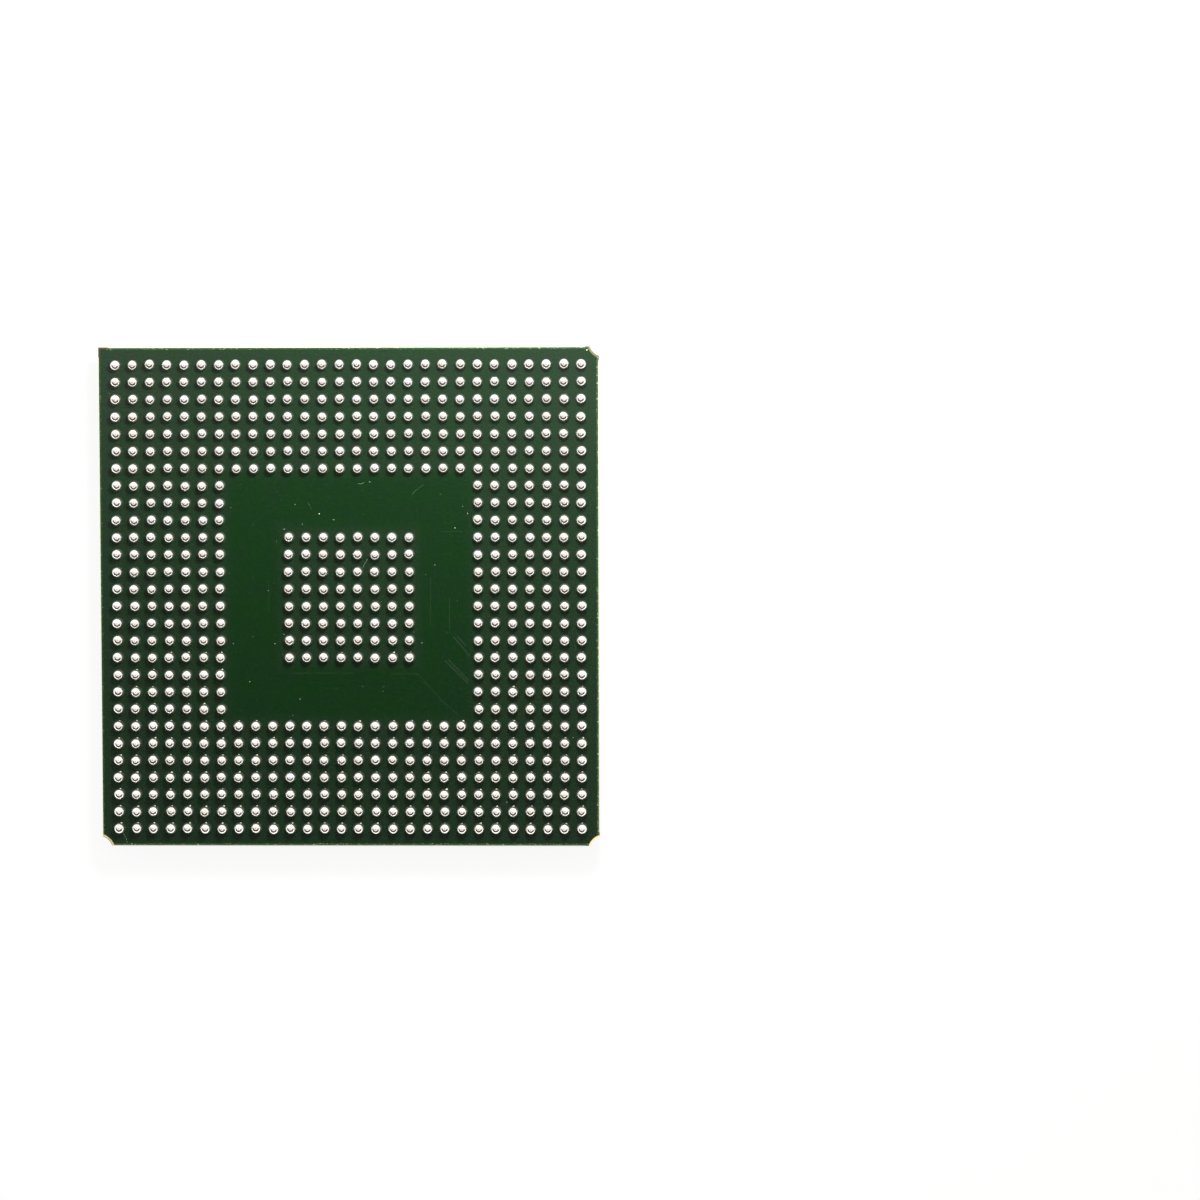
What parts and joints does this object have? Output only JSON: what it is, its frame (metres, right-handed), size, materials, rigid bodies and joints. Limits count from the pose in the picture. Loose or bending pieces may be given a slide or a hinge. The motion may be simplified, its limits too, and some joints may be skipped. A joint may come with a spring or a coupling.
{
  "type": "ball grid array chip package",
  "caption": "Square ball grid array package lying on its black mould cap, with solder balls up on a green laminate and three cut corners.",
  "frame": {"origin": "middle of the mould cap's flat face, which the part rests on", "axes": "+Z from the mould cap towards the solder balls; +X and +Y along the ball grid, with grid corner A1 at minus X and plus Y"},
  "size_m": [0.031, 0.031, 0.0023],
  "materials": {
    "laminate": "sawn glass and resin edge",
    "solder_mask": "glossy green coat",
    "copper": "plated",
    "gold": "satin plated",
    "solder": "bright reflowed solder",
    "silicon": "polished",
    "die_attach_film": "cured paste",
    "mould_resin": "fine matt moulded"
  },
  "bodies": {
    "root": {"ball_pads": "copper", "ball_side_mask": "solder_mask", "balls_row_a": "solder", "balls_row_aa": "solder", "balls_row_ab": "solder", "balls_row_ac": "solder", "balls_row_ad": "solder", "balls_row_ae": "solder", "balls_row_af": "solder", "balls_row_ag": "solder", "balls_row_ah": "solder", "balls_row_b": "solder", "balls_row_c": "solder", "balls_row_d": "solder", "balls_row_e": "solder", "balls_row_f": "solder", "balls_row_g": "solder", "balls_row_h": "solder", "balls_row_j": "solder", "balls_row_k": "solder", "balls_row_l": "solder", "balls_row_m": "solder", "balls_row_n": "solder", "balls_row_p": "solder", "balls_row_r": "solder", "balls_row_t": "solder", "balls_row_u": "solder", "balls_row_v": "solder", "balls_row_w": "solder", "balls_row_y": "solder", "bond_fingers": "gold", "bond_wires_east": "gold", "bond_wires_north": "gold", "bond_wires_south": "gold", "bond_wires_west": "gold", "die_attach": "die_attach_film", "die_side_mask": "solder_mask", "ground_ring": "gold", "heat_vias": "copper", "mould_cap": "mould_resin", "mould_gate": "gold", "power_ring": "gold", "silicon_die": "silicon", "substrate_core": "laminate"}
  },
  "joints": []
}
